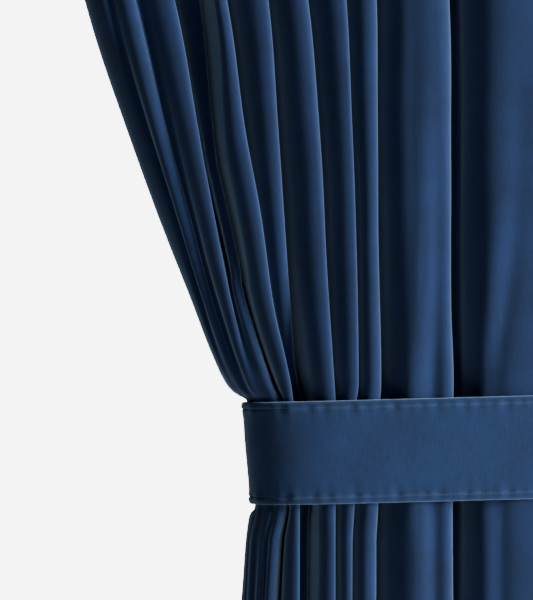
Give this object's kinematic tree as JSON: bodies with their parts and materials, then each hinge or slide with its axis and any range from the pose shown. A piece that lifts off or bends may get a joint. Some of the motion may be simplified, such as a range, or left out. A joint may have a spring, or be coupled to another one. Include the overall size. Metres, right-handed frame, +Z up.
{
  "type": "velvet drape with tieback",
  "caption": "Floor-length velvet drape, gathered at the top and drawn to the right by a plain fabric band at waist height.",
  "frame": {"origin": "middle of the drape's top edge, where a rod or track would carry it", "axes": "+Z up, +X to the right as seen from the room, the face of the drape towards -Y"},
  "size_m": [0.6959, 0.0999, 2.4502],
  "materials": {
    "drape_velvet": "matte",
    "band_velvet": "matte"
  },
  "bodies": {
    "root": {"drape_panel": "drape_velvet", "tieback_band": "band_velvet"}
  },
  "joints": []
}
